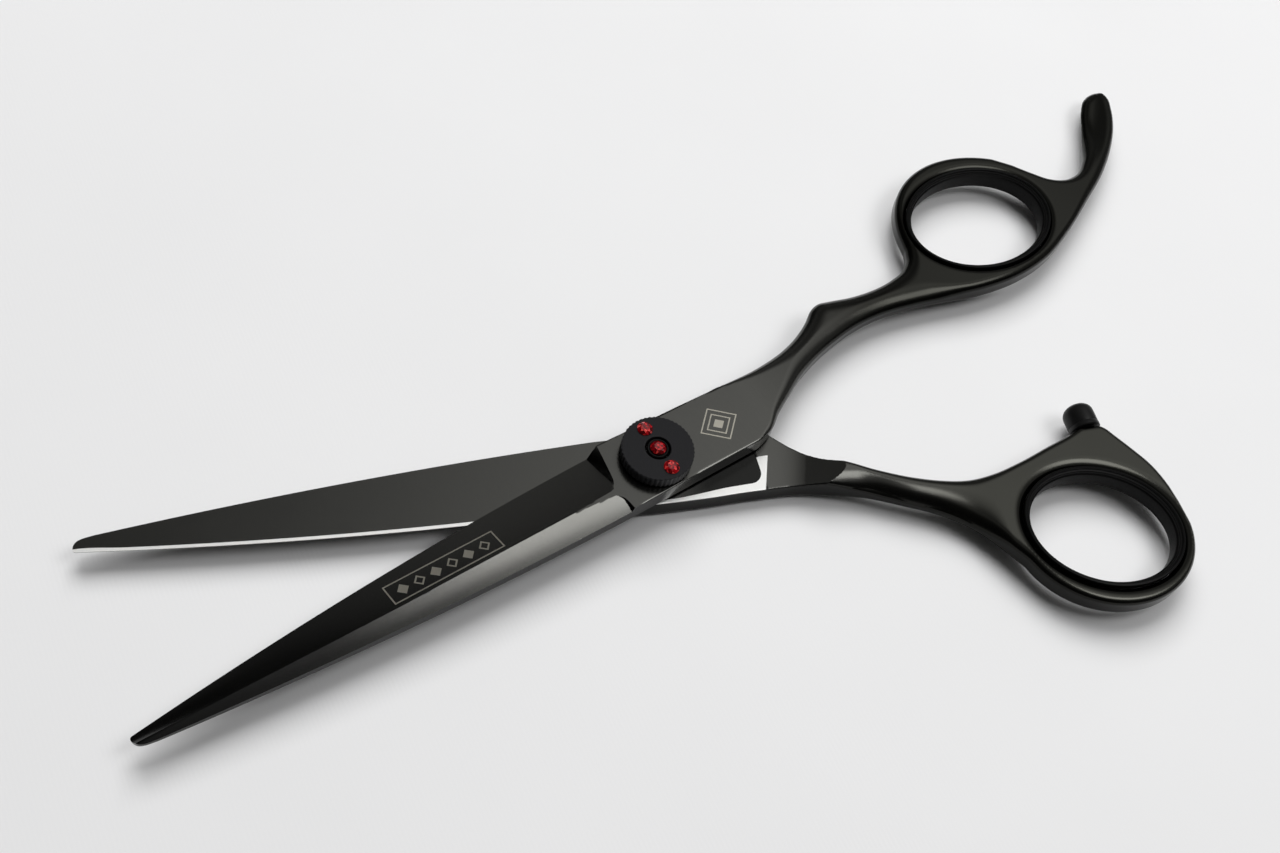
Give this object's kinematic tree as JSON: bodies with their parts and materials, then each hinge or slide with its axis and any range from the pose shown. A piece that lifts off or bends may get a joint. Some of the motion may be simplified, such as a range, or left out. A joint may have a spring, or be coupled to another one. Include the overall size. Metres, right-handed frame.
{
  "type": "hair cutting shears",
  "caption": "Black-coated hair cutting shears with a serrated tension dial, rubber ring inserts, a closing stop and a fixed finger rest.",
  "frame": {"origin": "on the pivot axis, at the flat underside of the pivot bolt's head", "axes": "+Z along the pivot axis towards the tension dial, +X along the bisector of the open blades towards the rings, +Y towards the finger ring"},
  "size_m": [0.1819, 0.0862, 0.009],
  "materials": {
    "coated_steel": "gloss black titanium coating over polished steel",
    "ring_rubber": "semi-matt black rubber",
    "stop_rubber": "matt black rubber",
    "bare_steel": "plain spring steel",
    "coated_fastener": "satin black coating on steel",
    "nylon": "natural nylon",
    "dial_black": "fine satin black coating",
    "red_crystal": "faceted foil-backed red stone"
  },
  "bodies": {
    "finger_side": {"finger_half": "coated_steel", "finger_ring_insert": "ring_rubber", "pivot_bushing": "nylon"},
    "thumb_side": {"thumb_half": "coated_steel", "thumb_ring_insert": "ring_rubber", "bumper_stud": "bare_steel", "rubber_bumper": "stop_rubber", "pivot_bolt": "coated_fastener", "ride_washer": "nylon", "spring_washer": "bare_steel", "click_plate": "bare_steel"},
    "dial": {"tension_dial": "dial_black", "dial_lock_screw": "coated_fastener", "centre_crystal": "red_crystal", "far_crystal": "red_crystal", "near_crystal": "red_crystal"}
  },
  "joints": [
    {"name": "blade_pivot", "type": "hinge", "parent": "finger_side", "child": "thumb_side", "pos_m": [0, 0, 0.0035], "axis": [0, 0, 1], "range_deg": [-50, 20]},
    {"name": "dial_turn", "type": "hinge", "parent": "thumb_side", "child": "dial", "pos_m": [0, 0, 0.0075], "axis": [0, 0, 1], "range_deg": [-180, 180]}
  ]
}
